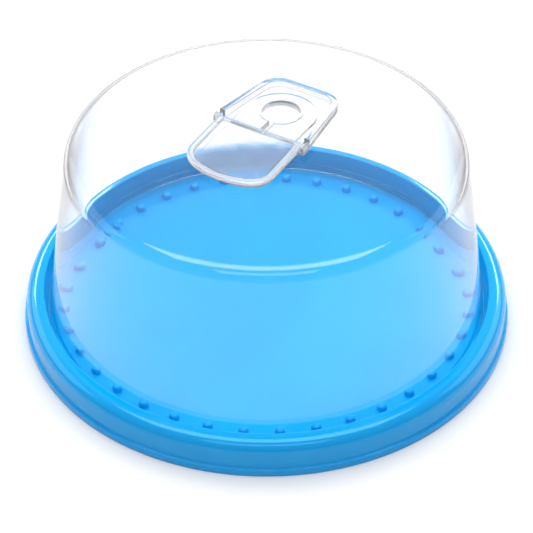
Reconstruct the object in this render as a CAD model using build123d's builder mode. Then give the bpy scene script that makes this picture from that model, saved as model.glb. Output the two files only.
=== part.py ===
from build123d import *
from math import atan2, cos, degrees, radians, sin, sqrt, tan
import os

# Round cake carrier: a hollow tray, a clear lift-off cover, and a folding bail on the cover.
# Millimetres. +Z up, origin on the table under the centre, the bail folds down towards -Y.

# Tray, outside
tray_radius = 177.5
tray_height = 26.0
tray_wall = 2.4
lip_width = 1.9
lip_height = 5.6
lip_edge_radius = 0.8
rim_width = 13.4
rim_draft = 2.0
rim_shoulder_radius = 9.0
rim_edge_radius = 1.2

# Tray, inside
floor_height = 8.0
dish_draft = 3.0
channel_depth = 1.5
channel_width = 9.6
channel_corner_radius = 0.7

# Portion marks on the floor
mark_count = 36
mark_edge_gap = 5.1
mark_start_angle = 5.0
mark_radius = 3.5
mark_height = 4.4
mark_bevel = 1.7

# Stiffening under the tray
rib_count = 12
rib_thickness = 1.8
rib_table_gap = 0.8
hub_ring_radius = 30.0
foot_ring_radius = 118.0
ring_thickness = 2.0

# Cover
cover_height = 157.0
cover_wall = 2.2
cover_draft = 8.46
crown_radius = 800.0
shoulder_radius = 12.0
foot_side_gap = 0.9
foot_seat_gap = 0.2
foot_band_height = 6.2
foot_band_step = 0.15
foot_edge_radius = 0.5

# Seat, fixed on the crown
hinge_offset = 8.5
bond_gap = 0.1
skin_thickness = 1.2
skin_inset = 1.5
rim_front_half_width = 36.0
rim_rear_half_width = 28.8
rim_rear_reach = 57.3
rim_band_width = 4.3
rim_front_rise = 2.8
rim_rear_height = 6.1
rim_corner_radius = 16.0
rim_hinge_gap = 3.8
rim_top_edge_radius = 0.6
panel_radius = 25.0
panel_rise = 2.4
panel_bar_gap = 1.5
keyhole_centre = 19.7
keyhole_radius = 13.4
keyhole_slot_width = 3.2
keyhole_wall = 1.9
keyhole_rise = 0.6
keyhole_edge_radius = 0.4
pad_inset = 7.4
pad_rise = 0.8
pad_bar_gap = 0.4
pad_corner_radius = 3.0
ear_wall = 1.2

# Bail, hinged between the seat's ears
bail_half_width = 33.4
bail_front_reach = 64.4
bail_front_radius = 62.5
bail_corner_radius = 18.0
bail_band_width = 4.2
bail_thickness = 3.4
bail_edge_radius = 0.9
bail_rest_gap = 0.3
bar_radius = 1.75
bar_skin_gap = 1.7
pin_radius = 1.7
pin_clearance = 0.05
ear_side_gap = 0.3

os.makedirs("parts", exist_ok=True)

# Tray and foot of the cover, worked out from the sizes
rim_foot_radius = tray_radius - lip_width
dish_radius = rim_foot_radius - rim_width
channel_floor = floor_height - channel_depth
channel_radius = dish_radius - (tray_height - channel_floor) * tan(radians(dish_draft))
floor_radius = channel_radius - channel_width - channel_depth
mark_circle_radius = floor_radius - mark_edge_gap - mark_radius
cover_foot = channel_floor + foot_seat_gap
cover_foot_radius = channel_radius - foot_side_gap
crown_centre = cover_height - crown_radius


def crown_at(distance):
    """Height of the crown's outer face at a distance from the middle."""
    return crown_centre + sqrt(crown_radius**2 - distance**2)


# Hinge and seat, worked out from the sizes
hinge_line = -hinge_offset
skin_height = bond_gap + skin_thickness
hinge_height = crown_at(hinge_offset) + skin_height + bar_skin_gap + bar_radius
ear_radius = pin_radius + pin_clearance + ear_wall
ear_inner = bail_half_width + ear_side_gap
ear_thickness = rim_front_half_width - ear_inner
bail_front_centre = bail_front_radius - bail_front_reach
skin_front_reach = bail_front_reach - skin_inset
bail_tilt = degrees(
    atan2(
        hinge_height - bail_thickness / 2 - bail_rest_gap - skin_height - crown_at(skin_front_reach),
        skin_front_reach - hinge_offset,
    )
)
rim_front = hinge_line + bail_thickness / 2 + rim_hinge_gap
panel_front = hinge_line + bar_radius + panel_bar_gap
panel_top = crown_at(hinge_offset) + skin_height + panel_rise
pad_rear = hinge_line - bar_radius - pad_bar_gap
rim_front_top = hinge_height + rim_front_rise
rim_rear_top = crown_at(rim_rear_reach) + rim_rear_height
rim_slope = atan2(rim_front_top - rim_rear_top, rim_rear_reach - rim_front)
rim_top = Plane(
    origin=(0, rim_front, rim_front_top),
    x_dir=(1, 0, 0),
    z_dir=(0, sin(rim_slope), cos(rim_slope)),
)
seat_bottom = crown_at(bail_front_reach + rim_front_half_width)
seat_blank_height = rim_front_top - seat_bottom + ear_radius


def tray_section(inset):
    """Half section inside the tray's outer face, moved in by the inset; x is the radius, y the height."""
    rise = tray_height - inset - lip_height
    foot = rim_foot_radius - inset
    with BuildSketch() as outline:
        with BuildLine():
            Polyline(
                (0, 0),
                (tray_radius - inset, 0),
                (tray_radius - inset, lip_height - inset / 2),
                (foot, lip_height - inset / 2),
                (foot - rise * tan(radians(rim_draft)), tray_height - inset),
                (0, tray_height - inset),
                close=True,
            )
        make_face()
        crest = outline.vertices().group_by(Axis.Y)[-1].sort_by(Axis.X)[-1]
        fillet(crest, rim_shoulder_radius - inset)
    return outline.sketch


def dish_section(outset):
    """Half section of the hollow that holds the cake, widened by the outset."""
    low = channel_floor - outset
    with BuildSketch() as outline:
        with BuildLine():
            Polyline(
                (0, floor_height - outset),
                (floor_radius, floor_height - outset),
                (channel_radius - channel_width, low),
                (channel_radius + outset, low),
                (dish_radius + outset, tray_height),
                (0, tray_height),
                close=True,
            )
        make_face()
    return outline.sketch


# Hollow under the tray, between its ribs and rings
with BuildPart() as tray_hollow:
    with BuildSketch(Plane.XZ):
        add(tray_section(tray_wall))
        add(dish_section(tray_wall), mode=Mode.SUBTRACT)
    revolve(axis=Axis.Z)
    with BuildSketch(Plane.XY.offset(rib_table_gap)):
        for ring_radius in (foot_ring_radius, hub_ring_radius):
            Circle(ring_radius + ring_thickness / 2)
            Circle(ring_radius - ring_thickness / 2, mode=Mode.SUBTRACT)
        with PolarLocations(hub_ring_radius, rib_count):
            Rectangle(tray_radius, rib_thickness, align=(Align.MIN, Align.CENTER))
    extrude(amount=tray_height, mode=Mode.SUBTRACT)

# Tray
with BuildPart() as base_tray:
    with BuildSketch(Plane.XZ) as wall_section:
        add(tray_section(0))
        add(dish_section(0), mode=Mode.SUBTRACT)
        corners = wall_section.vertices()
        rim_edge = corners.sort_by_distance((dish_radius, tray_height))[0]
        fillet(rim_edge, rim_edge_radius)
        lip_edge = corners.sort_by_distance((tray_radius, lip_height))[0]
        fillet(lip_edge, lip_edge_radius)
        channel_corner = corners.sort_by_distance((channel_radius, channel_floor))[0]
        fillet(channel_corner, channel_corner_radius)
    revolve(axis=Axis.Z)
    add(tray_hollow.part, mode=Mode.SUBTRACT)
    with BuildSketch(Plane.XY.offset(floor_height)):
        with PolarLocations(mark_circle_radius, mark_count, start_angle=mark_start_angle):
            Circle(mark_radius)
    extrude(amount=mark_height)
    mark_top = floor_height + mark_height
    mark_edges = base_tray.edges().filter_by(GeomType.CIRCLE)
    chamfer(mark_edges.filter_by_position(Axis.Z, mark_top, mark_top), mark_bevel)


def cover_section(inset):
    """Half section inside the cover's outer face, drawn in from that face by the inset."""
    lean = tan(radians(cover_draft))
    foot = cover_foot_radius - foot_band_step - inset / cos(radians(cover_draft))
    with BuildSketch() as outline:
        with BuildLine():
            Polyline(
                (0, cover_foot),
                (foot, cover_foot),
                (foot - cover_height * lean, cover_foot + cover_height),
                (0, cover_foot + cover_height),
                close=True,
            )
        make_face()
        with Locations((0, crown_centre)):
            Circle(crown_radius - inset, mode=Mode.INTERSECT)
        fillet(outline.vertices().sort_by(Axis.X)[-2], shoulder_radius - inset)
    return outline.sketch


# Cover: wall, crown and the upright band at its foot
with BuildPart() as dome_cover:
    with BuildSketch(Plane.XZ) as shell_section:
        add(cover_section(0))
        with Locations((cover_foot_radius, cover_foot)):
            Rectangle(cover_wall, foot_band_height, align=(Align.MAX, Align.MIN))
        band_corners = shell_section.vertices().sort_by(Axis.X)[-2:]
        fillet(band_corners, foot_edge_radius)
        add(cover_section(cover_wall), mode=Mode.SUBTRACT)
    revolve(axis=Axis.Z)


def rear_outline(inset):
    """Outline of the seat behind the hinge, drawn in from its sides and rear by the inset."""
    with BuildSketch() as outline:
        with BuildLine():
            Polyline(
                (-rim_front_half_width + inset, rim_front),
                (rim_front_half_width - inset, rim_front),
                (rim_rear_half_width - inset, rim_rear_reach - inset),
                (-rim_rear_half_width + inset, rim_rear_reach - inset),
                close=True,
            )
        make_face()
        fillet(outline.vertices().group_by(Axis.Y)[-1], rim_corner_radius - inset)
    return outline.sketch


def bail_outline(inset, rear):
    """Bowed outline of the bail's sides and front, drawn in by the inset and closed by a rear edge."""
    half_width = bail_half_width - inset
    radius = bail_front_radius - inset
    shoulder = bail_front_centre - sqrt(radius**2 - half_width**2)
    with BuildSketch() as outline:
        with BuildLine():
            Polyline(
                (-half_width, shoulder),
                (-half_width, rear),
                (half_width, rear),
                (half_width, shoulder),
            )
            ThreePointArc(
                (half_width, shoulder),
                (0, bail_front_centre - radius),
                (-half_width, shoulder),
            )
        make_face()
        fillet(outline.vertices().group_by(Axis.Y)[0], bail_corner_radius - inset)
    return outline.sketch


def pad_outline():
    """Outline of the low pad that the bail's window leaves open."""
    with BuildSketch() as outline:
        add(bail_outline(pad_inset, pad_rear))
        fillet(outline.vertices().group_by(Axis.Y)[-1], pad_corner_radius)
    return outline.sketch


def panel_outline():
    """Outline of the raised panel: a round end about the keyhole and straight sides to the bar."""
    with BuildSketch() as outline:
        with BuildLine():
            Polyline(
                (-panel_radius, keyhole_centre),
                (-panel_radius, panel_front),
                (panel_radius, panel_front),
                (panel_radius, keyhole_centre),
            )
            ThreePointArc(
                (panel_radius, keyhole_centre),
                (0, keyhole_centre + panel_radius),
                (-panel_radius, keyhole_centre),
            )
        make_face()
    return outline.sketch


def keyhole_outline(outset):
    """Round hole and the slot from it to the panel's front, widened by the outset."""
    with BuildSketch() as outline:
        with Locations((0, keyhole_centre)):
            Circle(keyhole_radius + outset)
        with Locations((0, panel_front)):
            slot_width = keyhole_slot_width + 2 * outset
            Rectangle(slot_width, keyhole_centre - panel_front, align=(Align.CENTER, Align.MIN))
    return outline.sketch


# Skin of the seat: the front under the bail, a strip between the ears, and the rear half
with BuildPart() as seat_skin:
    with BuildSketch(Plane.XY.offset(seat_bottom)):
        add(bail_outline(skin_inset, hinge_line))
        add(rear_outline(0))
        with Locations((0, rim_front)):
            strip_length = rim_front - hinge_line + ear_radius
            Rectangle(2 * rim_front_half_width, strip_length, align=(Align.CENTER, Align.MAX))
        add(keyhole_outline(0), mode=Mode.SUBTRACT)
    extrude(amount=seat_blank_height)
    with Locations((0, 0, crown_centre)):
        Sphere(crown_radius + skin_height, mode=Mode.INTERSECT)

# Low pad inside the bail's window
with BuildPart() as seat_pad:
    with BuildSketch(Plane.XY.offset(seat_bottom)):
        add(pad_outline())
    extrude(amount=seat_blank_height)
    with Locations((0, 0, crown_centre)):
        Sphere(crown_radius + skin_height + pad_rise, mode=Mode.INTERSECT)

# Raised panel round the keyhole
with BuildPart() as seat_panel:
    with BuildSketch(Plane.XY.offset(seat_bottom)):
        add(panel_outline())
        add(keyhole_outline(0), mode=Mode.SUBTRACT)
    extrude(amount=seat_blank_height)
    with Locations((0, 0, crown_centre)):
        Sphere(crown_radius + skin_height + panel_rise, mode=Mode.INTERSECT)

# Rim round the rear half, its top on a sloping plane
with BuildPart() as seat_rim:
    with BuildSketch(Plane.XY.offset(seat_bottom)):
        add(rear_outline(0))
        add(rear_outline(rim_band_width), mode=Mode.SUBTRACT)
    extrude(amount=seat_blank_height)
    split(bisect_by=rim_top, keep=Keep.BOTTOM)
    fillet(seat_rim.faces().filter_by(rim_top).edges(), rim_top_edge_radius)

# Collar round the keyhole and its slot
with BuildPart() as seat_keyhole:
    with BuildSketch(Plane.XY.offset(seat_bottom)):
        add(keyhole_outline(keyhole_wall))
        add(keyhole_outline(0), mode=Mode.SUBTRACT)
    extrude(amount=panel_top + keyhole_rise - seat_bottom)
    fillet(seat_keyhole.faces().sort_by(Axis.Z)[-1].edges(), keyhole_edge_radius)

# Ear that carries one of the bail's pins, joined to the front of the rim
with BuildPart() as seat_ear:
    with BuildSketch(Plane.YZ.offset(ear_inner)):
        with Locations((hinge_line, hinge_height)):
            Circle(ear_radius)
            Rectangle(2 * ear_radius, hinge_height - seat_bottom, align=(Align.CENTER, Align.MAX))
            Rectangle(rim_front - hinge_line, hinge_height - seat_bottom, align=(Align.MIN, Align.MAX))
            Circle(pin_radius + pin_clearance, mode=Mode.SUBTRACT)
    extrude(amount=ear_thickness)

# Whole seat, its underside cut to the crown
with BuildPart() as handle_seat:
    add(seat_skin.part)
    add(seat_pad.part)
    add(seat_panel.part)
    add(seat_rim.part)
    add(seat_keyhole.part)
    add(seat_ear.part)
    mirror(seat_ear.part, about=Plane.YZ)
    with Locations((0, 0, crown_centre)):
        Sphere(crown_radius + bond_gap, mode=Mode.SUBTRACT)

# Bail: a flat bowed loop with rounded edges, a round bar and a pin at each end of it
bail_plane = Plane(
    origin=(0, hinge_line, hinge_height),
    x_dir=(1, 0, 0),
    z_dir=(0, -sin(radians(bail_tilt)), cos(radians(bail_tilt))),
)
with BuildPart() as carry_bail:
    with BuildSketch(bail_plane):
        with Locations((0, hinge_offset)):
            add(bail_outline(0, hinge_line))
            add(bail_outline(bail_band_width, hinge_line), mode=Mode.SUBTRACT)
    extrude(amount=bail_thickness / 2, both=True)
    fillet(carry_bail.faces().filter_by(bail_plane).edges(), bail_edge_radius)
    for side in (-1, 1):
        with BuildSketch(Plane.YZ.offset(side * bail_half_width)):
            with Locations((hinge_line, hinge_height)):
                Circle(bail_thickness / 2)
        extrude(amount=-side * bail_band_width)
    with BuildSketch(Plane.YZ):
        with Locations((hinge_line, hinge_height)):
            Circle(bar_radius)
    extrude(amount=bail_half_width - bail_band_width / 2, both=True)
    with BuildSketch(Plane.YZ):
        with Locations((hinge_line, hinge_height)):
            Circle(pin_radius)
    extrude(amount=rim_front_half_width, both=True)

for name, piece in {
    "base_tray": base_tray,
    "dome_cover": dome_cover,
    "handle_seat": handle_seat,
    "carry_bail": carry_bail,
}.items():
    piece.part.label = name
    export_step(piece.part, f"parts/{name}.step")
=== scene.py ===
"""Looks of a round cake carrier: a blue tray, a clear lift-off cover and a clear folding bail."""

import logging
import math
from dataclasses import dataclass
from enum import Enum

import bmesh
import bpy
from mathutils import Matrix, Vector


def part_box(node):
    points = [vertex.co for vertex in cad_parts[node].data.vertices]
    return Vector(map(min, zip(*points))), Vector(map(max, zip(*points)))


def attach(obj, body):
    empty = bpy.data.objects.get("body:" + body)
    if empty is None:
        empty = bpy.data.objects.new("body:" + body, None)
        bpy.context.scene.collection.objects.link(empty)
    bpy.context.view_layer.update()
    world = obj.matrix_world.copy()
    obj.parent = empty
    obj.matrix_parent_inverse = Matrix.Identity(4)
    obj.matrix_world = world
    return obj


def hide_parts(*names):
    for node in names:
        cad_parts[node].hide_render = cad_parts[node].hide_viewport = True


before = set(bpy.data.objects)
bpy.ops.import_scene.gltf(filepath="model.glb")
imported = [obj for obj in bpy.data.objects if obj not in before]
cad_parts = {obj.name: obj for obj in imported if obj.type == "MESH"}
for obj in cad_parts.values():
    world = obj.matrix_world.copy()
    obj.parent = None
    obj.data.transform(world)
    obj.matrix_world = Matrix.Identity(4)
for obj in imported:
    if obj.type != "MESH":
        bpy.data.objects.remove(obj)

LOG = logging.getLogger("cake_carrier")
MM = 0.001
TRAY_RADIUS = 177.5  # millimetres, to the lip's edge
COVER_GAP = 0.9  # millimetres, from the cover's foot to the channel's wall
PLASTIC_IOR = 1.49
PATTERN_SPAN = (0.35, 0.65)  # middle range of a noise pattern, where most of it lies
ON_AXIS = 1e-7  # metres; a point nearer to the axis lies on it
POWER_PER_GLOW = 4.0  # watts per square metre of a lamp that shows as white

Colour = tuple[float, float, float]
Section = list[tuple[float, float]]
Socket = bpy.types.NodeSocket


class Body(Enum):
    """Moving bodies of the carrier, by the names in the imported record."""

    BASE = "base"
    LID = "lid"
    BAIL = "bail"


class Slot(Enum):
    """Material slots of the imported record."""

    TRAY = "tray_plastic"
    COVER = "cover_plastic"
    SEAT = "seat_plastic"
    BAIL = "bail_plastic"


@dataclass(frozen=True)
class Corner:
    """One corner of a turned section, in millimetres.

    Attributes:
        radius: Distance from the axis.
        height: Height above the table.
        rounding: Radius that rounds the corner, or 0 for a sharp one.
        steps: Straight pieces in the rounding.
    """

    radius: float
    height: float
    rounding: float = 0.0
    steps: int = 6


@dataclass(frozen=True)
class Pattern:
    """Noise pattern on a piece's own coordinates.

    Attributes:
        scale: Cells of the pattern per metre.
        detail: Finer layers added to it.
        distortion: How far the pattern is pulled about.
    """

    scale: float
    detail: float
    distortion: float = 0.0


FLOW = Pattern(14.0, 2.0, 0.6)
WEAR = Pattern(210.0, 5.0)
SURFACE_WAVES = Pattern(36.0, 1.0)
HAZE = Pattern(90.0, 4.0)
CLEAR_WAVES = Pattern(22.0, 1.0, 0.4)


@dataclass
class NodeSheet:
    """Short way to write a shader's or a geometry tree's nodes.

    Attributes:
        tree: The node tree that gets the nodes.
    """

    tree: bpy.types.NodeTree

    def add(self, kind: str, **settings: object) -> bpy.types.Node:
        """Adds a node.

        Args:
            kind: The node's type name.
            **settings: Attributes of the node, such as operation.

        Returns:
            The new node.
        """
        node = self.tree.nodes.new(kind)
        for key, value in settings.items():
            setattr(node, key, value)
        return node

    def link(self, source: Socket, target: Socket) -> None:
        """Links an output to an input."""
        self.tree.links.new(source, target)

    def show(self, surface: Socket) -> None:
        """Links a shader to the material's output."""
        self.link(surface, self.tree.nodes["Material Output"].inputs["Surface"])

    def position(self) -> Socket:
        """Adds the piece's own coordinates."""
        return self.add("ShaderNodeTexCoord").outputs["Object"]

    def math(self, operation: str, *values: Socket | float) -> Socket:
        """Adds a calculation.

        Args:
            operation: The Math node's operation.
            *values: Its inputs in order, each a socket to link or a number.

        Returns:
            The result's socket.
        """
        node = self.add("ShaderNodeMath", operation=operation)
        for target, value in zip(node.inputs, values):
            if isinstance(value, Socket):
                self.link(value, target)
            else:
                target.default_value = value
        return node.outputs["Value"]

    def length(self, vector: Socket) -> Socket:
        """Adds the length of a vector.

        Args:
            vector: The vector.

        Returns:
            The length's socket.
        """
        node = self.add("ShaderNodeVectorMath", operation="LENGTH")
        self.link(vector, node.inputs[0])
        return node.outputs["Value"]

    def spread(
        self,
        value: Socket,
        span: tuple[float, float],
        limits: tuple[float, float] = (0.0, 1.0),
        kind: str = "LINEAR",
    ) -> Socket:
        """Spreads a span of values over two limits, and holds it there beyond the span.

        Args:
            value: The value.
            span: Values that give the low and the high limit.
            limits: The low and the high limit.
            kind: The Map Range node's interpolation.

        Returns:
            The spread value's socket.
        """
        node = self.add("ShaderNodeMapRange", interpolation_type=kind)
        names = ("From Min", "From Max", "To Min", "To Max")
        for name, number in zip(names, (*span, *limits)):
            node.inputs[name].default_value = number
        self.link(value, node.inputs["Value"])
        return node.outputs["Result"]

    def noise(self, pattern: Pattern, limits: tuple[float, float] | None = None) -> Socket:
        """Adds a noise pattern on the piece's own coordinates.

        Args:
            pattern: The pattern.
            limits: Limits to spread its middle range over, or None for the bare pattern.

        Returns:
            The pattern's value socket.
        """
        noise = self.add("ShaderNodeTexNoise")
        noise.inputs["Scale"].default_value = pattern.scale
        noise.inputs["Detail"].default_value = pattern.detail
        noise.inputs["Distortion"].default_value = pattern.distortion
        self.link(self.position(), noise.inputs["Vector"])
        value = noise.outputs["Fac"]
        return value if limits is None else self.spread(value, PATTERN_SPAN, limits)

    def bump(self, pattern: Pattern, depth: float, strength: float) -> Socket:
        """Turns a noise pattern into relief.

        Args:
            pattern: The pattern.
            depth: Relief in metres.
            strength: Share of the relief that shows.

        Returns:
            The normal's socket.
        """
        bump = self.add("ShaderNodeBump")
        bump.inputs["Strength"].default_value = strength
        bump.inputs["Distance"].default_value = depth
        self.link(self.noise(pattern), bump.inputs["Height"])
        return bump.outputs["Normal"]

    def mix(self, first: Colour, second: Colour, share: Socket) -> Socket:
        """Mixes two colours.

        Args:
            first: Colour at a share of 0, linear.
            second: Colour at a share of 1, linear.
            share: Share of the second colour.

        Returns:
            The mixed colour's socket.
        """
        node = self.add("ShaderNodeMix", data_type="RGBA")
        node.inputs["A"].default_value = (*first, 1.0)
        node.inputs["B"].default_value = (*second, 1.0)
        self.link(share, node.inputs["Factor"])
        return node.outputs["Result"]


def new_material(name: str) -> tuple[bpy.types.Material, NodeSheet]:
    """Makes an empty material.

    Args:
        name: The material's name.

    Returns:
        The material and the sheet of its nodes, which hold a Principled shader.
    """
    material = bpy.data.materials.new(name)
    material.use_nodes = True
    return material, NodeSheet(material.node_tree)


@dataclass(frozen=True)
class TintedPlastic:
    """Glossy opaque moulding with a faint flow pattern and fine wear.

    Attributes:
        name: The material's name.
        colour: Base colour, linear.
        deep: Colour where the plastic is a little denser, linear.
        gloss: Lowest and highest roughness.
        reflection: Specular level.
        sheen_tint: Tint of the reflection, linear.
        relief: Depth of the moulded surface's faint waves, in metres.
        relief_share: Share of those waves that shows.
    """

    name: str
    colour: Colour
    deep: Colour
    gloss: tuple[float, float]
    reflection: float
    sheen_tint: Colour
    relief: float
    relief_share: float = 0.35

    def material(self) -> bpy.types.Material:
        """Builds the material.

        Returns:
            The material.
        """
        material, sheet = new_material(self.name)
        shader = material.node_tree.nodes["Principled BSDF"]
        tint = sheet.mix(self.colour, self.deep, sheet.noise(FLOW, (0.0, 1.0)))
        relief = sheet.bump(SURFACE_WAVES, self.relief, self.relief_share)
        sheet.link(tint, shader.inputs["Base Color"])
        sheet.link(sheet.noise(WEAR, self.gloss), shader.inputs["Roughness"])
        sheet.link(relief, shader.inputs["Normal"])
        shader.inputs["IOR"].default_value = PLASTIC_IOR
        shader.inputs["Specular IOR Level"].default_value = self.reflection
        shader.inputs["Specular Tint"].default_value = (*self.sheen_tint, 1.0)
        return material


@dataclass(frozen=True)
class RolledEdgeShade:
    """Tightly rounded edge of a clear moulding, where the painted shade of the dark outline sets
    in sooner.

    Attributes:
        radius: Distance from the axis at which it begins, in metres.
        height: Height above the table at which it begins, in metres.
        fade: Length over which it sets in, in metres.
        gain: Share of the turn by which the painted dark outline sets in sooner.
    """

    radius: float
    height: float
    fade: float
    gain: float

    def add_to(self, sheet: NodeSheet, facing: Socket) -> Socket:
        """Adds the gain to a turn away from the eye.

        Args:
            sheet: The sheet that gets the nodes.
            facing: The turn away from the eye.

        Returns:
            The turn with the gain.
        """
        parts = sheet.add("ShaderNodeSeparateXYZ")
        sheet.link(sheet.position(), parts.inputs["Vector"])
        level = sheet.add("ShaderNodeCombineXYZ")
        sheet.link(parts.outputs["X"], level.inputs["X"])
        sheet.link(parts.outputs["Y"], level.inputs["Y"])
        outward = sheet.length(level.outputs["Vector"])
        radial_span = (self.radius, self.radius + self.fade)
        height_span = (self.height, self.height + self.fade)
        out = sheet.spread(outward, radial_span, kind="SMOOTHSTEP")
        high = sheet.spread(parts.outputs["Z"], height_span, kind="SMOOTHSTEP")
        return sheet.math("MULTIPLY_ADD", sheet.math("MULTIPLY", out, high), self.gain, facing)


@dataclass(frozen=True)
class ClearPlastic:
    """Clear moulding that bends light, with faint flow waves, a little haze and painted shade: a
    dark outline painted where a face turns away from the eye.

    Attributes:
        name: The material's name.
        tint: Colour that the plastic leaves in light passing a face squarely, linear.
        painted_outline_shade: Painted shade, the dark outline colour painted where a face turns
            away from the eye, linear.
        outline_shade_from: Share of the turn away from the eye at which the painted dark outline
            sets in.
        outline_shade_full: Share of that turn at which it is full.
        clearness: Share of light that passes; the rest scatters as milkiness.
        reflection: Specular level.
        haze: Lowest and highest roughness.
        wave: Depth of the moulded surface's flow waves, in metres.
        shade: Light that reaches what lies behind, linear.
        rolled_edge_shade: A tightly rounded edge where the painted dark outline sets in sooner,
            if the moulding has one.
        wave_share: Share of the flow waves that shows.
    """

    name: str
    tint: Colour
    painted_outline_shade: Colour
    outline_shade_from: float
    outline_shade_full: float
    clearness: float
    reflection: float
    haze: tuple[float, float]
    wave: float
    shade: Colour
    rolled_edge_shade: RolledEdgeShade | None = None
    wave_share: float = 0.4

    def material(self) -> bpy.types.Material:
        """Builds the material.

        Returns:
            The material.
        """
        material, sheet = new_material(self.name)
        shader = material.node_tree.nodes["Principled BSDF"]
        facing = sheet.add("ShaderNodeLayerWeight").outputs["Facing"]
        if self.rolled_edge_shade:
            facing = self.rolled_edge_shade.add_to(sheet, facing)
        # Painted shade: the base colour turns dark where the face turns away from the eye,
        # drawing a dark outline.
        edge = sheet.spread(facing, (self.outline_shade_from, self.outline_shade_full))
        waves = sheet.bump(CLEAR_WAVES, self.wave, self.wave_share)
        sheet.link(sheet.mix(self.tint, self.painted_outline_shade, edge), shader.inputs["Base Color"])
        shader.inputs["IOR"].default_value = PLASTIC_IOR
        shader.inputs["Specular IOR Level"].default_value = self.reflection
        shader.inputs["Transmission Weight"].default_value = self.clearness
        sheet.link(sheet.noise(HAZE, self.haze), shader.inputs["Roughness"])
        sheet.link(waves, shader.inputs["Normal"])
        passing = sheet.add("ShaderNodeBsdfTransparent")
        passing.inputs["Color"].default_value = (*self.shade, 1.0)
        rays = sheet.add("ShaderNodeLightPath")
        mix = sheet.add("ShaderNodeMixShader")
        sheet.link(rays.outputs["Is Shadow Ray"], mix.inputs[0])
        sheet.link(shader.outputs["BSDF"], mix.inputs[1])
        sheet.link(passing.outputs["BSDF"], mix.inputs[2])
        sheet.show(mix.outputs["Shader"])
        return material


AZURE = TintedPlastic(
    name="azure_tray_plastic",
    colour=(0.0, 0.365, 0.860),
    deep=(0.0, 0.345, 0.830),
    gloss=(0.08, 0.13),
    reflection=0.9,
    sheen_tint=(0.36, 0.84, 1.0),
    relief=0.00010,
)
# The edge colours of the clear plastics below are painted shade, a dark outline painted where a
# face turns away from the eye.
CRYSTAL = ClearPlastic(
    name="clear_cover_plastic",
    tint=(0.994, 0.987, 0.982),
    painted_outline_shade=(0.20, 0.20, 0.24),
    outline_shade_from=0.70,
    outline_shade_full=0.96,
    clearness=1.0,
    reflection=0.18,
    haze=(0.0, 0.02),
    wave=0.00004,
    shade=(0.95, 0.95, 0.96),
    rolled_edge_shade=RolledEdgeShade(radius=0.128, height=0.130, fade=0.006, gain=0.21),
)
SMOKED = ClearPlastic(
    name="clear_seat_plastic",
    tint=(0.945, 0.945, 0.95),
    painted_outline_shade=(0.16, 0.16, 0.18),
    outline_shade_from=0.45,
    outline_shade_full=1.0,
    clearness=0.92,
    reflection=0.5,
    haze=(0.04, 0.10),
    wave=0.00003,
    shade=(0.90, 0.90, 0.92),
)
BRIGHT = ClearPlastic(
    name="clear_bail_plastic",
    tint=(0.98, 0.98, 0.985),
    painted_outline_shade=(0.20, 0.20, 0.23),
    outline_shade_from=0.52,
    outline_shade_full=1.0,
    clearness=0.85,
    reflection=0.6,
    haze=(0.04, 0.10),
    wave=0.00003,
    shade=(0.92, 0.92, 0.94),
)


def rounded(corners: list[Corner]) -> Section:
    """Rounds the corners of a closed section.

    Args:
        corners: The corners in order, the first joined to the last.

    Returns:
        Points of the section, in metres.
    """
    points: Section = []
    for index, corner in enumerate(corners):
        here = Vector((corner.radius, corner.height))
        if corner.rounding == 0.0:
            points.append((here.x * MM, here.y * MM))
            continue
        before = corners[index - 1]
        after = corners[(index + 1) % len(corners)]
        back = (Vector((before.radius, before.height)) - here).normalized()
        ahead = (Vector((after.radius, after.height)) - here).normalized()
        half = back.angle(ahead) / 2
        inward = (back + ahead).normalized()
        centre = here + inward * (corner.rounding / math.sin(half))
        first = here + back * (corner.rounding / math.tan(half)) - centre
        last = here + ahead * (corner.rounding / math.tan(half)) - centre
        start = math.atan2(first.y, first.x)
        turn = math.remainder(math.atan2(last.y, last.x) - start, math.tau)
        for step in range(corner.steps + 1):
            angle = start + turn * step / corner.steps
            x = centre.x + corner.rounding * math.cos(angle)
            y = centre.y + corner.rounding * math.sin(angle)
            points.append((x * MM, y * MM))
    return points


def smooth(mesh: bpy.types.Mesh, limit_deg: float = 32.0) -> None:
    """Shades a mesh smooth, except across sharp edges.

    Args:
        mesh: The mesh.
        limit_deg: Angle from which an edge stays sharp.
    """
    for polygon in mesh.polygons:
        polygon.use_smooth = True
    mesh.set_sharp_from_angle(angle=math.radians(limit_deg))


def add_object(name: str, data: bpy.types.ID) -> bpy.types.Object:
    """Adds an object to the scene.

    Args:
        name: The new object's name.
        data: Its mesh, lamp or camera.

    Returns:
        The object.
    """
    item = bpy.data.objects.new(name, data)
    bpy.context.scene.collection.objects.link(item)
    return item


def make_object(name: str, shape: bmesh.types.BMesh) -> bpy.types.Object:
    """Makes a smooth-shaded object from a bmesh and frees it.

    Args:
        name: The new object's name.
        shape: The bmesh, in the part's frame.

    Returns:
        The object, linked to the scene.
    """
    bmesh.ops.recalc_face_normals(shape, faces=shape.faces)
    mesh = bpy.data.meshes.new(name)
    shape.to_mesh(mesh)
    shape.free()
    smooth(mesh)
    return add_object(name, mesh)


def turned(name: str, section: Section, sides: int) -> bpy.types.Object:
    """Turns a closed section about the Z axis.

    Args:
        name: The new object's name.
        section: Closed outline of radius and height, in metres.
        sides: Faces round the axis.

    Returns:
        The turned object.
    """
    shape = bmesh.new()
    rings: list[list[bmesh.types.BMVert]] = []
    for radius, height in section:
        if radius < ON_AXIS:
            rings.append([shape.verts.new((0.0, 0.0, height))] * sides)
            continue
        ring = []
        for side in range(sides):
            angle = math.tau * side / sides
            point = (radius * math.cos(angle), radius * math.sin(angle), height)
            ring.append(shape.verts.new(point))
        rings.append(ring)
    for index, ring in enumerate(rings):
        above = rings[(index + 1) % len(rings)]
        for side in range(sides):
            following = (side + 1) % sides
            loop = [ring[side], ring[following], above[following], above[side]]
            corners = list(dict.fromkeys(loop))
            if len(corners) > 2:
                shape.faces.new(corners)
    return make_object(name, shape)


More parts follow.
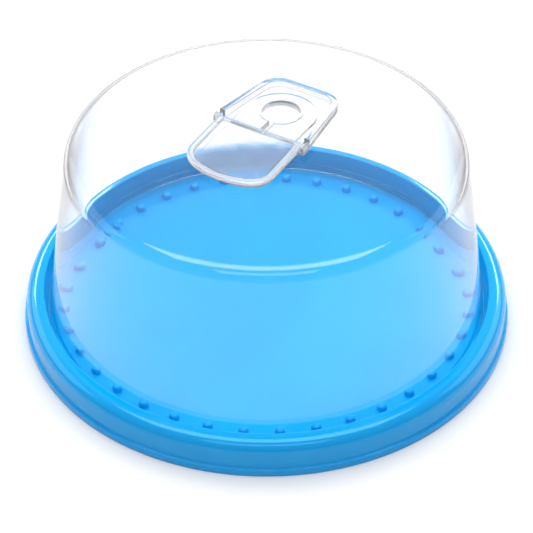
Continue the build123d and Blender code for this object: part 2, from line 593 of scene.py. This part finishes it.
def plate(name: str, section: Section, thickness: float) -> bpy.types.Object:
    """Makes a flat plate standing in the XZ plane, its middle on Y 0.

    Args:
        name: The new object's name.
        section: Outline of X and Z, in metres.
        thickness: Thickness along Y, in metres.

    Returns:
        The plate.
    """
    shape = bmesh.new()
    near = [shape.verts.new((x, -thickness / 2, z)) for x, z in section]
    far = [shape.verts.new((x, thickness / 2, z)) for x, z in section]
    shape.faces.new(near)
    shape.faces.new(list(reversed(far)))
    for index in range(len(section)):
        following = (index + 1) % len(section)
        shape.faces.new([near[index], far[index], far[following], near[following]])
    return make_object(name, shape)


def merged_copy(node: str, name: str, weld: float, sharp_deg: float) -> bpy.types.Object:
    """Copies a CAD node as one welded, smooth-shaded mesh.

    Args:
        node: The CAD node's name.
        name: The copy's name.
        weld: Distance within which points are joined, in millimetres.
        sharp_deg: Angle from which an edge stays sharp.

    Returns:
        The copy.
    """
    shape = bmesh.new()
    shape.from_mesh(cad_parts[node].data)
    bmesh.ops.remove_doubles(shape, verts=shape.verts, dist=weld * MM)
    mesh = bpy.data.meshes.new(name)
    shape.to_mesh(mesh)
    shape.free()
    if "custom_normal" in mesh.attributes:
        mesh.attributes.remove(mesh.attributes["custom_normal"])
    smooth(mesh, sharp_deg)
    return add_object(name, mesh)


def dress(
    piece: bpy.types.Object,
    finish: bpy.types.Material,
    body: Body,
    stands_for: str | None = None,
) -> bpy.types.Object:
    """Gives a piece its finish and its body.

    Args:
        piece: The finished piece.
        finish: Its material.
        body: The body that it rides on.
        stands_for: The CAD node that it replaces, if it replaces one.

    Returns:
        The piece.
    """
    piece.data.materials.clear()
    piece.data.materials.append(finish)
    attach(piece, body.value)
    if stands_for:
        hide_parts(stands_for)
    LOG.info("%s: %d faces on %s", piece.name, len(piece.data.polygons), body.value)
    return piece


@dataclass
class RingPattern:
    """Geometry tree that repeats a shape about the Z axis.

    Attributes:
        name: Name of the tree.
    """

    name: str = "ring_pattern"

    def tree(self) -> bpy.types.GeometryNodeTree:
        """Builds the tree, or finds it if it is built.

        Returns:
            The tree, with inputs Shape, Count, Phase and Finish.
        """
        found = bpy.data.node_groups.get(self.name)
        if found:
            return found
        tree = bpy.data.node_groups.new(self.name, "GeometryNodeTree")
        for label, kind in (
            ("Shape", "NodeSocketGeometry"),
            ("Count", "NodeSocketInt"),
            ("Phase", "NodeSocketFloat"),
            ("Finish", "NodeSocketMaterial"),
        ):
            tree.interface.new_socket(label, in_out="INPUT", socket_type=kind)
        tree.interface.new_socket("Ring", in_out="OUTPUT", socket_type="NodeSocketGeometry")
        sheet = NodeSheet(tree)
        given = sheet.add("NodeGroupInput")
        result = sheet.add("NodeGroupOutput")
        points = sheet.add("GeometryNodePoints")
        sheet.link(given.outputs["Count"], points.inputs["Count"])
        index = sheet.add("GeometryNodeInputIndex").outputs["Index"]
        share = sheet.math("DIVIDE", index, given.outputs["Count"])
        angle = sheet.math("MULTIPLY_ADD", share, math.tau, given.outputs["Phase"])
        turn = sheet.add("ShaderNodeCombineXYZ")
        sheet.link(angle, turn.inputs["Z"])
        copies = sheet.add("GeometryNodeInstanceOnPoints")
        sheet.link(points.outputs["Points"], copies.inputs["Points"])
        sheet.link(given.outputs["Shape"], copies.inputs["Instance"])
        sheet.link(turn.outputs["Vector"], copies.inputs["Rotation"])
        real = sheet.add("GeometryNodeRealizeInstances")
        sheet.link(copies.outputs["Instances"], real.inputs["Geometry"])
        finish = sheet.add("GeometryNodeSetMaterial")
        sheet.link(real.outputs["Geometry"], finish.inputs["Geometry"])
        sheet.link(given.outputs["Finish"], finish.inputs["Material"])
        sheet.link(finish.outputs["Geometry"], result.inputs["Ring"])
        return tree

    def repeat(
        self,
        shape: bpy.types.Object,
        count: int,
        phase_deg: float,
        finish: bpy.types.Material,
    ) -> bpy.types.Object:
        """Repeats a shape about the axis as one plain mesh.

        Args:
            shape: The shape, where its first copy stands at no phase.
            count: Number of copies.
            phase_deg: Angle of the first copy, in degrees.
            finish: Material of the copies.

        Returns:
            The same object, holding all the copies.
        """
        modifier = shape.modifiers.new(self.name, "NODES")
        modifier.node_group = self.tree()
        values = {"Count": count, "Phase": math.radians(phase_deg), "Finish": finish}
        for item in modifier.node_group.interface.items_tree:
            if item.in_out == "INPUT" and item.name in values:
                modifier[item.identifier] = values[item.name]
        graph = bpy.context.evaluated_depsgraph_get()
        mesh = bpy.data.meshes.new_from_object(shape.evaluated_get(graph))
        shape.modifiers.remove(modifier)
        shape.data = mesh
        smooth(mesh)
        return shape


@dataclass
class Tray:
    """Base tray: a hollow rim with a lip, a dish with a channel, marks above and ribs below.

    Lengths are in millimetres.

    Attributes:
        radius: Radius of the lip.
        height: Height of the rim.
        wall: Thickness of the moulding.
        lip_width: How far the lip stands out from the rim.
        lip_height: Height of the lip.
        rim_width: Width of the rim's top, from the lip's step to the dish.
        rim_lean: Lean of the rim's outer face over its height.
        rim_shoulder: Rounding of the rim's outer shoulder.
        dish_lean: Lean of the dish's wall over its height.
        floor: Height of the dish's floor.
        channel_depth: Depth of the channel below the floor.
        channel_width: Width of the channel.
        mark_count: Number of portion marks.
        mark_ring: Radius of the circle of marks.
        mark_phase_deg: Angle of the first mark.
        mark_radius: Radius of a mark.
        mark_height: Height of a mark.
        mark_rounding: Rounding of a mark's top.
        rib_count: Number of ribs.
        rib_thickness: Thickness of a rib.
        rib_gap: Gap between the ribs and the table.
        ring_radii: Radii of the rings under the tray.
        ring_thickness: Thickness of those rings.
        floor_edge: Rounding of the edges between the floor and the channel.
        channel_corner: Rounding at the foot of the dish's wall.
        rim_edge: Rounding of the rim's inner edge.
        lip_corner: Rounding between the rim and the lip.
        lip_edge: Rounding of the lip's upper edge.
        foot_edge: Rounding of the edges on the table.
        inner_corner: Rounding inside the hollow rim.
        sides: Faces round the turned shapes.
        mark_sides: Faces round a mark.
    """

    radius: float
    height: float
    wall: float = 2.4
    lip_width: float = 1.9
    lip_height: float = 5.6
    rim_width: float = 13.4
    rim_lean: float = 0.72
    rim_shoulder: float = 9.0
    dish_lean: float = 1.02
    floor: float = 8.0
    channel_depth: float = 1.5
    channel_width: float = 9.6
    mark_count: int = 36
    mark_ring: float = 141.478
    mark_phase_deg: float = 5.0
    mark_radius: float = 3.5
    mark_height: float = 4.4
    mark_rounding: float = 2.4
    rib_count: int = 12
    rib_thickness: float = 1.8
    rib_gap: float = 0.8
    ring_radii: tuple[float, ...] = (30.0, 118.0)
    ring_thickness: float = 2.0
    floor_edge: float = 0.5
    channel_corner: float = 0.7
    rim_edge: float = 1.2
    lip_corner: float = 0.5
    lip_edge: float = 0.8
    foot_edge: float = 0.3
    inner_corner: float = 0.6
    sides: int = 288
    mark_sides: int = 28

    @property
    def rim(self) -> float:
        """Radius of the rim just above the lip."""
        return self.radius - self.lip_width

    @property
    def dish(self) -> float:
        """Radius of the dish at the rim's top."""
        return self.rim - self.rim_width

    @property
    def channel(self) -> float:
        """Outer radius of the channel's floor."""
        return self.dish - self.dish_lean

    @property
    def channel_floor(self) -> float:
        """Height of the channel's floor."""
        return self.floor - self.channel_depth

    @property
    def inner_channel(self) -> float:
        """Inner radius of the channel's floor."""
        return self.channel - self.channel_width

    @property
    def floor_radius(self) -> float:
        """Radius of the flat floor inside the channel."""
        return self.inner_channel - self.channel_depth

    @property
    def bite(self) -> float:
        """How far ribs, rings and marks reach into the shell that carries them."""
        return self.wall / 3

    def shell_section(self) -> Section:
        """Works out the section of the whole shell, hollow underneath.

        Returns:
            The closed section, in metres.
        """
        wall = self.wall
        under_rim = self.height - wall
        under_channel = self.channel_floor - wall
        under_lip = self.lip_height - wall / 2
        inner_shoulder = self.rim_shoulder - wall
        return rounded([
            Corner(0.0, self.floor),
            Corner(self.floor_radius, self.floor, self.floor_edge, 4),
            Corner(self.inner_channel, self.channel_floor, self.floor_edge, 4),
            Corner(self.channel, self.channel_floor, self.channel_corner, 4),
            Corner(self.dish, self.height, self.rim_edge, 8),
            Corner(self.rim - self.rim_lean, self.height, self.rim_shoulder, 20),
            Corner(self.rim, self.lip_height, self.lip_corner, 4),
            Corner(self.radius, self.lip_height, self.lip_edge, 6),
            Corner(self.radius, 0.0, self.foot_edge, 3),
            Corner(self.radius - wall, 0.0, self.foot_edge, 3),
            Corner(self.radius - wall, under_lip),
            Corner(self.rim - wall, under_lip),
            Corner(self.rim - self.rim_lean - wall, under_rim, inner_shoulder, 8),
            Corner(self.dish + wall, under_rim, self.inner_corner, 3),
            Corner(self.channel + wall, under_channel, self.inner_corner, 3),
            Corner(self.inner_channel, under_channel),
            Corner(self.floor_radius, self.floor - wall),
            Corner(0.0, self.floor - wall),
        ])

    def rib_section(self) -> Section:
        """Works out one rib, which fills the hollow from the inner ring to the lip.

        Returns:
            The closed section, in metres.
        """
        skin = self.wall - self.bite
        under_rim = self.height - self.wall + self.bite
        under_channel = self.channel_floor - self.wall + self.bite
        under_floor = self.floor - self.wall + self.bite
        rim_outer = self.rim - self.wall + self.bite
        inner_shoulder = self.rim_shoulder - self.wall
        return rounded([
            Corner(self.ring_radii[0], self.rib_gap),
            Corner(rim_outer, self.rib_gap),
            Corner(rim_outer - self.rim_lean, under_rim, inner_shoulder, 6),
            Corner(self.dish + skin, under_rim),
            Corner(self.channel + skin, under_channel),
            Corner(self.inner_channel, under_channel),
            Corner(self.floor_radius, under_floor),
            Corner(self.ring_radii[0], under_floor),
        ])

    def ring_section(self, radius: float) -> Section:
        """Works out the section of a ring under the floor.

        Args:
            radius: Radius of the ring's middle, in millimetres.

        Returns:
            The closed section, in metres.
        """
        half = self.ring_thickness / 2
        top = self.floor - self.wall + self.bite
        return rounded([
            Corner(radius - half, self.rib_gap, self.foot_edge, 2),
            Corner(radius + half, self.rib_gap, self.foot_edge, 2),
            Corner(radius + half, top),
            Corner(radius - half, top),
        ])

    def mark_section(self) -> Section:
        """Works out the section of one portion mark about its own axis.

        Returns:
            The closed section, in metres.
        """
        sunk = self.floor - self.bite
        return rounded([
            Corner(0.0, sunk),
            Corner(self.mark_radius, sunk),
            Corner(self.mark_radius, self.floor + self.mark_height, self.mark_rounding, 8),
            Corner(0.0, self.floor + self.mark_height),
        ])

    def build(self, finish: bpy.types.Material) -> list[bpy.types.Object]:
        """Builds the tray's pieces.

        Args:
            finish: The tray's plastic.

        Returns:
            The shell, the marks, the ribs and the rings.
        """
        shell = turned("tray_shell", self.shell_section(), self.sides)
        dress(shell, finish, Body.BASE, stands_for="base_tray")
        mark = turned("portion_marks", self.mark_section(), self.mark_sides)
        mark.data.transform(Matrix.Translation((self.mark_ring * MM, 0.0, 0.0)))
        pattern = RingPattern()
        marks = pattern.repeat(mark, self.mark_count, self.mark_phase_deg, finish)
        rib = plate("underside_ribs", self.rib_section(), self.rib_thickness * MM)
        ribs = pattern.repeat(rib, self.rib_count, 0.0, finish)
        pieces = [dress(piece, finish, Body.BASE) for piece in (marks, ribs)]
        for index, radius in enumerate(self.ring_radii):
            ring = turned(f"underside_ring_{index + 1}", self.ring_section(radius), self.sides)
            pieces.append(dress(ring, finish, Body.BASE))
        return [shell, *pieces]


@dataclass
class Cover:
    """Clear cover: a band at the foot, a leaning wall, a tight shoulder and a low crown.

    Lengths are in millimetres.

    Attributes:
        foot: Height of the foot above the table.
        foot_radius: Outer radius of the band at the foot.
        top: Height of the crown's middle.
        wall: Thickness of the moulding.
        draft_deg: Lean of the wall.
        crown_radius: Radius of the crown's sphere.
        shoulder: Rounding between the wall and the crown.
        band_height: Height of the band at the foot.
        band_step: How far the band stands out from the wall at the foot.
        band_edge: Rounding of the band's outer edges.
        foot_edge: Rounding of the foot's inner edge.
        sides: Faces round the cover.
        shoulder_steps: Rings of faces in the shoulder.
        crown_steps: Rings of faces from the shoulder to the middle.
    """

    foot: float
    foot_radius: float
    top: float
    wall: float = 2.2
    draft_deg: float = 8.46
    crown_radius: float = 800.0
    shoulder: float = 12.0
    band_height: float = 6.2
    band_step: float = 0.15
    band_edge: float = 0.5
    foot_edge: float = 0.3
    sides: int = 320
    shoulder_steps: int = 14
    crown_steps: int = 24

    def wall_and_crown(self, inset: float) -> Section:
        """Works out the outline from the foot up the wall and over the crown to the axis.

        Args:
            inset: How far inside the outer face the outline runs, in millimetres.

        Returns:
            Points of the outline, in millimetres.
        """
        draft = math.radians(self.draft_deg)
        rounding = self.shoulder - inset
        crown = self.crown_radius - inset
        foot = Vector((self.foot_radius - self.band_step - inset / math.cos(draft), self.foot))
        along = Vector((-math.sin(draft), math.cos(draft)))
        inward = Vector((-math.cos(draft), -math.sin(draft)))
        middle = Vector((0.0, self.top - self.crown_radius))
        offset = foot + inward * rounding - middle
        reach = offset.dot(along)
        rise = math.sqrt(reach**2 - offset.dot(offset) + (crown - rounding) ** 2) - reach
        centre = foot + inward * rounding + along * rise
        end = math.atan2(centre.y - middle.y, centre.x - middle.x)
        points = [(foot.x, foot.y)]
        for step in range(self.shoulder_steps + 1):
            angle = draft + (end - draft) * step / self.shoulder_steps
            x = centre.x + rounding * math.cos(angle)
            y = centre.y + rounding * math.sin(angle)
            points.append((x, y))
        edge = math.pi / 2 - end
        for step in range(1, self.crown_steps + 1):
            tilt = edge * (1 - step / self.crown_steps)
            points.append((crown * math.sin(tilt), middle.y + crown * math.cos(tilt)))
        return points

    def section(self) -> Section:
        """Works out the section of the cover.

        Returns:
            The closed section, in metres.
        """
        outside = self.wall_and_crown(0.0)
        inside = self.wall_and_crown(self.wall)
        lean = math.tan(math.radians(self.draft_deg))
        band_top = self.foot + self.band_height
        ledge = outside[0][0] - self.band_height * lean
        inner_foot = inside[0][0]
        # The last corner only gives the foot's inner edge its direction.
        guide = Corner(inner_foot - 1.0, self.foot + 6.0)
        band = rounded([
            Corner(ledge, band_top),
            Corner(self.foot_radius, band_top, self.band_edge, 5),
            Corner(self.foot_radius, self.foot, self.band_edge, 5),
            Corner(inner_foot, self.foot, self.foot_edge, 3),
            guide,
        ])[:-1]
        over = [(x * MM, z * MM) for x, z in outside[1:]]
        under = [(x * MM, z * MM) for x, z in reversed(inside[1:])]
        return list(reversed(band)) + over + under

    def build(self, finish: bpy.types.Material) -> bpy.types.Object:
        """Builds the cover in its plastic."""
        shell = turned("cover_shell", self.section(), self.sides)
        return dress(shell, finish, Body.LID, stands_for="dome_cover")


@dataclass
class Handle:
    """Handle on the crown: the fixed seat with its ears, and the bail that folds between them.

    Attributes:
        weld: Distance within which points of a moulding are joined, in millimetres.
        sharp_deg: Angle from which an edge of a moulding stays sharp.
    """

    weld: float = 0.002
    sharp_deg: float = 26.0

    def build(
        self, seat_finish: bpy.types.Material, bail_finish: bpy.types.Material
    ) -> list[bpy.types.Object]:
        """Builds the handle's two mouldings.

        Args:
            seat_finish: The seat's plastic.
            bail_finish: The bail's plastic.

        Returns:
            The seat and the bail.
        """
        seat = merged_copy("handle_seat", "seat_moulding", self.weld, self.sharp_deg)
        dress(seat, seat_finish, Body.LID, stands_for="handle_seat")
        bail = merged_copy("carry_bail", "bail_moulding", self.weld, self.sharp_deg)
        dress(bail, bail_finish, Body.BAIL, stands_for="carry_bail")
        return [seat, bail]


@dataclass(frozen=True)
class Lamp:
    """One rectangular lamp.

    Attributes:
        name: The lamp's name.
        turn_deg: Its turn from the camera's side, towards the right.
        elevation_deg: Its height above the horizon.
        distance: Its distance from the middle, in metres.
        size: Its width and height, in metres.
        glow: Its brightness, where 1 shows as white.
        seen_through: Whether it shows through clear plastic.
        mirrored: Whether glossy faces show it.
        tray_only: Whether it lights the tray alone, for a glint along the rim.
    """

    name: str
    turn_deg: float
    elevation_deg: float
    distance: float
    size: tuple[float, float]
    glow: float
    seen_through: bool = False
    mirrored: bool = True
    tray_only: bool = False


LAMPS = (
    Lamp("overhead", 0.0, 88.0, 1.90, (2.20, 0.90), 2.6, seen_through=True),
    Lamp("back_light", 180.0, 57.0, 1.90, (2.00, 1.00), 2.7, mirrored=False),
    Lamp("front_fill", 0.0, 50.0, 1.90, (1.40, 0.50), 1.2, seen_through=True),
    Lamp("softbox_left", -112.0, 28.0, 1.60, (1.40, 0.80), 1.0),
    Lamp("softbox_right", 112.0, 28.0, 1.60, (1.40, 0.80), 1.0),
    Lamp("strip_left", -152.0, 30.0, 1.60, (0.70, 0.16), 11.0, tray_only=True),
    Lamp("strip_right", 152.0, 30.0, 1.60, (0.70, 0.16), 11.0, tray_only=True),
)


def around(distance: float, azimuth_deg: float, elevation_deg: float) -> Vector:
    """Finds a place round the object.

    Args:
        distance: Distance from the middle, in metres.
        azimuth_deg: Turn about the object from the -Y side towards +X.
        elevation_deg: Height above the horizon.

    Returns:
        The place.
    """
    azimuth = math.radians(azimuth_deg)
    elevation = math.radians(elevation_deg)
    level = distance * math.cos(elevation)
    height = distance * math.sin(elevation)
    return Vector((level * math.sin(azimuth), -level * math.cos(azimuth), height))


def point_at(item: bpy.types.Object, aim: Vector) -> None:
    """Turns a lamp or a camera towards a point."""
    item.rotation_euler = (aim - item.location).to_track_quat("-Z", "Y").to_euler()


@dataclass(frozen=True)
class Background:
    """How bright the floor, the ring behind it and the sky show, where 1 is white.

    Attributes:
        floor_colour: Grey of the floor, linear.
        floor_roughness: Roughness of the floor.
        floor_glow: What the floor adds for the camera and for mirrored rays.
        floor_bent_glow: What it adds for rays through clear plastic.
        far_glow: What it adds far away, so that it fades into the sky.
        far_span: Distances over which the far glow sets in, in metres.
        sky: Light of the sky on the object.
        sky_mirrored: What the sky adds for mirrored rays.
        sky_seen: What it adds for the camera.
    """

    floor_colour: float = 0.84
    floor_roughness: float = 0.9
    floor_glow: float = 0.05
    floor_bent_glow: float = 0.20
    far_glow: float = 0.75
    far_span: tuple[float, float] = (0.7, 3.0)
    sky: float = 0.26
    sky_mirrored: float = 0.30
    sky_seen: float = 0.74


@dataclass
class Studio:
    """Pale floor with a low ring behind it, a soft sky, lamps and the camera.

    Attributes:
        focal_mm: Lens of the camera.
        sensor_mm: Width of its sensor.
        distance: Distance from the camera to the point it looks at, in metres.
        azimuth_deg: Turn of the camera about the object from the -Y side towards +X.
        elevation_deg: Camera's height above the horizon.
        aim_height: Height of the point it looks at, in metres.
        lamp_aim_height: Height of the point that the lamps look at, in metres.
        floor_radius: Radius of the floor, in metres.
        ring_width: Width of the ring at the floor's edge, in metres.
        ring_height: Height of that ring, in metres.
        sides: Faces round the floor and the ring.
        background: Brightness of the floor, the ring and the sky.
    """

    focal_mm: float = 128.33
    sensor_mm: float = 36.0
    distance: float = 1.3854
    azimuth_deg: float = 31.3
    elevation_deg: float = 39.7
    aim_height: float = 0.0354
    lamp_aim_height: float = 0.06
    floor_radius: float = 6.0
    ring_width: float = 0.1
    ring_height: float = 0.9
    sides: int = 96
    background: Background = Background()

    def camera(self) -> None:
        """Places the camera and makes it the scene's."""
        data = bpy.data.cameras.new("camera")
        data.lens = self.focal_mm
        data.sensor_width = self.sensor_mm
        data.sensor_fit = "HORIZONTAL"
        camera = add_object("camera", data)
        aim = Vector((0.0, 0.0, self.aim_height))
        camera.location = aim + around(self.distance, self.azimuth_deg, self.elevation_deg)
        point_at(camera, aim)
        bpy.context.scene.camera = camera

    def floor_strength(self, sheet: NodeSheet) -> Socket:
        """Works out how much the floor glows for each kind of ray.

        Args:
            sheet: The sheet of the floor's nodes.

        Returns:
            The glow's socket.
        """
        look = self.background
        rays = sheet.add("ShaderNodeLightPath").outputs
        seen, bent = rays["Is Camera Ray"], rays["Is Transmission Ray"]
        direct = sheet.math("MAXIMUM", seen, rays["Is Glossy Ray"])
        through = sheet.math("MULTIPLY", bent, look.floor_bent_glow)
        near = sheet.math("MULTIPLY_ADD", direct, look.floor_glow, through)
        reach = sheet.length(sheet.position())
        far = sheet.spread(reach, look.far_span, (0.0, look.far_glow), "SMOOTHSTEP")
        seen_far = sheet.math("MULTIPLY", far, sheet.math("MAXIMUM", seen, bent))
        return sheet.math("ADD", near, seen_far)

    def floor(self) -> None:
        """Lays a pale floor that shows white in the picture and keeps the object's shadow."""
        shape = bmesh.new()
        bmesh.ops.create_circle(
            shape, cap_ends=True, segments=self.sides, radius=self.floor_radius
        )
        floor = make_object("floor", shape)
        material, sheet = new_material("pale_floor")
        shader = material.node_tree.nodes["Principled BSDF"]
        shader.inputs["Base Color"].default_value = (*[self.background.floor_colour] * 3, 1.0)
        shader.inputs["Roughness"].default_value = self.background.floor_roughness
        shader.inputs["Specular IOR Level"].default_value = 0.0
        glow = sheet.add("ShaderNodeEmission")
        sheet.link(self.floor_strength(sheet), glow.inputs["Strength"])
        both = sheet.add("ShaderNodeAddShader")
        sheet.link(shader.outputs["BSDF"], both.inputs[0])
        sheet.link(glow.outputs["Emission"], both.inputs[1])
        sheet.show(both.outputs["Shader"])
        floor.data.materials.append(material)

    def backdrop(self) -> None:
        """Stands a low white ring round the floor, which clear plastic shows in low views."""
        outer = self.floor_radius
        inner = outer - self.ring_width
        top = self.ring_height
        section = [(inner, 0.0), (outer, 0.0), (outer, top), (inner, top)]
        ring = turned("backdrop", section, self.sides)
        material, sheet = new_material("white_backdrop")
        rays = sheet.add("ShaderNodeLightPath").outputs
        seen = sheet.math("MAXIMUM", rays["Is Camera Ray"], rays["Is Transmission Ray"])
        glow = sheet.add("ShaderNodeEmission")
        sheet.link(sheet.math("MAXIMUM", seen, self.background.sky), glow.inputs["Strength"])
        sheet.show(glow.outputs["Emission"])
        ring.data.materials.append(material)

    def surroundings(self) -> None:
        """Lights the scene all round with a soft pale sky that shows white."""
        world = bpy.data.worlds.new("studio")
        world.use_nodes = True
        bpy.context.scene.world = world
        sheet = NodeSheet(world.node_tree)
        sky = world.node_tree.nodes["Background"]
        sky.inputs["Color"].default_value = (1.0, 1.0, 1.0, 1.0)
        look = self.background
        rays = sheet.add("ShaderNodeLightPath").outputs
        unseen = sheet.math("MULTIPLY_ADD", rays["Is Glossy Ray"], look.sky_mirrored, look.sky)
        level = sheet.math("MULTIPLY_ADD", rays["Is Camera Ray"], look.sky_seen, unseen)
        sheet.link(level, sky.inputs["Strength"])

    def lamps(self, tray: list[bpy.types.Object]) -> None:
        """Hangs every lamp of the studio so that it looks at the object.

        Args:
            tray: The tray's pieces, for the lamps that light them alone.
        """
        lit = bpy.data.collections.new("tray_pieces")
        for piece in tray:
            lit.objects.link(piece)
        for plan in LAMPS:
            data = bpy.data.lights.new(plan.name, "AREA")
            data.shape = "RECTANGLE"
            data.size, data.size_y = plan.size
            data.energy = POWER_PER_GLOW * plan.glow * plan.size[0] * plan.size[1]
            lamp = add_object(plan.name, data)
            azimuth_deg = self.azimuth_deg + plan.turn_deg
            lamp.location = around(plan.distance, azimuth_deg, plan.elevation_deg)
            point_at(lamp, Vector((0.0, 0.0, self.lamp_aim_height)))
            lamp.visible_transmission = plan.seen_through
            lamp.visible_glossy = plan.mirrored
            if plan.tray_only:
                lamp.light_linking.receiver_collection = lit

    def build(self, tray: list[bpy.types.Object]) -> None:
        """Sets up the whole studio.

        Args:
            tray: The tray's pieces, for the lamps that light them alone.
        """
        bpy.context.scene.view_settings.view_transform = "Standard"
        self.camera()
        self.floor()
        self.backdrop()
        self.surroundings()
        self.lamps(tray)


def main() -> None:
    """Builds the carrier and its studio."""
    logging.basicConfig(level=logging.INFO, format="%(message)s")
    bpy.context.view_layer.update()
    _, tray_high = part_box("base_tray")
    cover_low, cover_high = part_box("dome_cover")
    tray = Tray(radius=TRAY_RADIUS, height=tray_high.z / MM)
    cover = Cover(
        foot=cover_low.z / MM,
        foot_radius=tray.channel - COVER_GAP,
        top=cover_high.z / MM,
    )
    tray_pieces = tray.build(AZURE.material())
    cover.build(CRYSTAL.material())
    Handle().build(SMOKED.material(), BRIGHT.material())
    Studio().build(tray_pieces)


if __name__ == "__main__":
    main()
